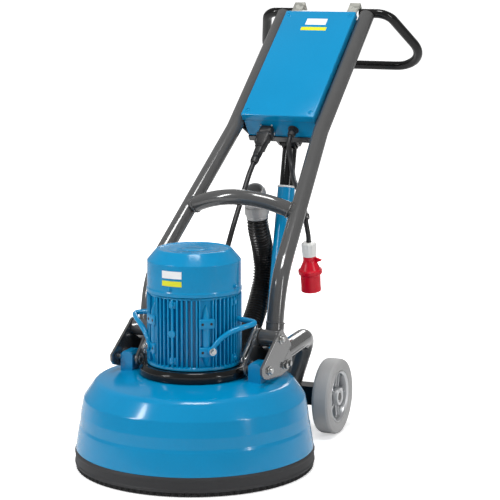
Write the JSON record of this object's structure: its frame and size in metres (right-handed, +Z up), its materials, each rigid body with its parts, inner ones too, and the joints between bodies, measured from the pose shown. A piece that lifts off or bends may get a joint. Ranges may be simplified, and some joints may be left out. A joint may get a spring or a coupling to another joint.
{
  "type": "concrete floor grinder",
  "caption": "Walk-behind planetary concrete floor grinder: round shrouded grinding head with a vertical motor, wheeled chassis, folding tubular handle with control box, suction hose and cables.",
  "frame": {"origin": "on the floor, under the middle of the machine's length and width", "axes": "+Z up, +Y towards the operator's grip, +X to the left of an operator who faces the head"},
  "size_m": [0.6, 1.4412, 1.1173],
  "materials": {
    "blue_paint": "gloss",
    "grey_paint": "satin",
    "black_paint": "gloss",
    "rubber": "matte",
    "brush": "matte",
    "tyre": "matte",
    "aluminium": "machined",
    "steel": "zinc plated",
    "tool_steel": "as cast",
    "copper": "wound",
    "black_plastic": "satin",
    "cable": "matte",
    "cast_grey": "cast",
    "red_plastic": "gloss",
    "green_plastic": "gloss"
  },
  "bodies": {
    "chassis": {"pivot_bracket_left": "grey_paint", "pivot_bracket_right": "grey_paint", "chassis_tube_left": "grey_paint", "chassis_tube_right": "grey_paint", "axle_beam": "black_paint", "head_pivot_bolt_left": "steel", "head_pivot_bolt_right": "steel", "frame_pivot_bolt_left": "steel", "frame_pivot_bolt_right": "steel", "tilt_spring_left": "steel", "tilt_spring_right": "steel", "suction_hose": "cable", "hose_coupling": "cast_grey"},
    "head": {"shroud": "blue_paint", "skirt_band": "rubber", "skirt_brush": "brush", "head_ring": "black_paint", "head_frame": "blue_paint", "motor_housing": "blue_paint", "stator": "copper", "bearing_bottom": "steel", "end_shield": "tool_steel", "fan_cowl": "blue_paint", "terminal_box": "black_plastic", "lift_loop_left": "blue_paint", "lift_loop_right": "blue_paint"},
    "rotor": {"motor_shaft": "steel", "rotor_core": "cast_grey", "cooling_fan": "black_plastic"},
    "carrier": {"drive_plate": "tool_steel"},
    "satellite_1": {"planet_gear_1": "steel", "grinding_disc_1": "tool_steel"},
    "satellite_2": {"planet_gear_2": "steel", "grinding_disc_2": "tool_steel"},
    "satellite_3": {"planet_gear_3": "steel", "grinding_disc_3": "tool_steel"},
    "handle": {"frame_tube_left": "grey_paint", "frame_tube_right": "grey_paint", "crossbar": "grey_paint", "handle_bow": "black_paint", "box_tray": "grey_paint", "box_body": "blue_paint", "box_cover": "blue_paint", "inverter": "cast_grey", "cable_hooks": "steel", "motor_connector": "black_plastic", "power_gland": "black_plastic", "motor_cable": "cable", "power_cable": "cable", "plug": "red_plastic"},
    "strut_lower": {"strut_outer": "blue_paint"},
    "strut_upper": {"strut_inner": "black_paint"},
    "wheel_left": {"tyre_left": "tyre", "wheel_hub_left": "aluminium"},
    "wheel_right": {"tyre_right": "tyre", "wheel_hub_right": "aluminium"},
    "emergency_stop_body": {"emergency_stop": "red_plastic"},
    "start_body": {"start_button": "green_plastic"},
    "stop_body": {"stop_button": "red_plastic"},
    "knob_body": {"speed_knob": "black_plastic"}
  },
  "joints": [
    {"name": "head_tilt", "type": "hinge", "parent": "chassis", "child": "head", "pos_m": [0, -0.43272, 0.258], "axis": [1, 0, 0], "range_deg": [-2.5, 2.5], "stiffness_Nm_per_rad": 120, "deforming": ["tilt_spring_left", "tilt_spring_right", "suction_hose"]},
    {"name": "drive_plate_spin", "type": "hinge", "parent": "head", "child": "carrier", "pos_m": [0, -0.42072, 0.1], "axis": [0, 0, 1], "continuous": true},
    {"name": "rotor_spin", "type": "hinge", "parent": "head", "child": "rotor", "pos_m": [0, -0.42072, 0.35], "axis": [0, 0, 1], "continuous": true},
    {"name": "disc_spin_1", "type": "hinge", "parent": "carrier", "child": "satellite_1", "pos_m": [0, -0.56922, 0.04], "axis": [0, 0, 1], "continuous": true},
    {"name": "disc_spin_2", "type": "hinge", "parent": "carrier", "child": "satellite_2", "pos_m": [0.1286, -0.34647, 0.04], "axis": [0, 0, 1], "continuous": true},
    {"name": "disc_spin_3", "type": "hinge", "parent": "carrier", "child": "satellite_3", "pos_m": [-0.1286, -0.34647, 0.04], "axis": [0, 0, 1], "continuous": true},
    {"name": "handle_fold", "type": "hinge", "parent": "chassis", "child": "handle", "pos_m": [0, -0.35472, 0.321], "axis": [1, 0, 0], "range_deg": [-6, 15], "deforming": ["motor_cable"]},
    {"name": "strut_swing", "type": "hinge", "parent": "chassis", "child": "strut_lower", "pos_m": [0, 0.09328, 0.15], "axis": [1, 0, 0], "range_deg": [-5.4, 13.4]},
    {"name": "strut_slide", "type": "slide", "parent": "strut_lower", "child": "strut_upper", "axis": [0, 0.2263, 0.9741], "range_m": [-0.051, 0.125]},
    {"name": "wheel_left_spin", "type": "hinge", "parent": "chassis", "child": "wheel_left", "pos_m": [-0.2184, -0.01602, 0.1], "axis": [1, 0, 0], "continuous": true},
    {"name": "wheel_right_spin", "type": "hinge", "parent": "chassis", "child": "wheel_right", "pos_m": [0.2184, -0.01602, 0.1], "axis": [1, 0, 0], "continuous": true},
    {"name": "emergency_stop_press", "type": "slide", "parent": "handle", "child": "emergency_stop_body", "axis": [0, 0.7843, 0.6203], "range_m": [-0.005, 0], "stiffness_N_per_m": 1500},
    {"name": "start_press", "type": "slide", "parent": "handle", "child": "start_body", "axis": [0, 0.7843, 0.6203], "range_m": [-0.003, 0], "stiffness_N_per_m": 900},
    {"name": "stop_press", "type": "slide", "parent": "handle", "child": "stop_body", "axis": [0, 0.7843, 0.6203], "range_m": [-0.003, 0], "stiffness_N_per_m": 900},
    {"name": "speed_knob_turn", "type": "hinge", "parent": "handle", "child": "knob_body", "pos_m": [0.054, 0.50263, 1.05854], "axis": [0, 0.7843, 0.6203], "range_deg": [-135, 135]}
  ],
  "couplings": [
    {"joint": "rotor_spin", "follows": "drive_plate_spin", "ratio": 4.4},
    {"joint": "disc_spin_1", "follows": "drive_plate_spin", "ratio": -2.8333},
    {"joint": "disc_spin_2", "follows": "drive_plate_spin", "ratio": -2.8333},
    {"joint": "disc_spin_3", "follows": "drive_plate_spin", "ratio": -2.8333},
    {"joint": "strut_swing", "follows": "handle_fold", "ratio": 0.8642},
    {"joint": "strut_slide", "follows": "handle_fold", "m_per_rad": 0.4696}
  ]
}
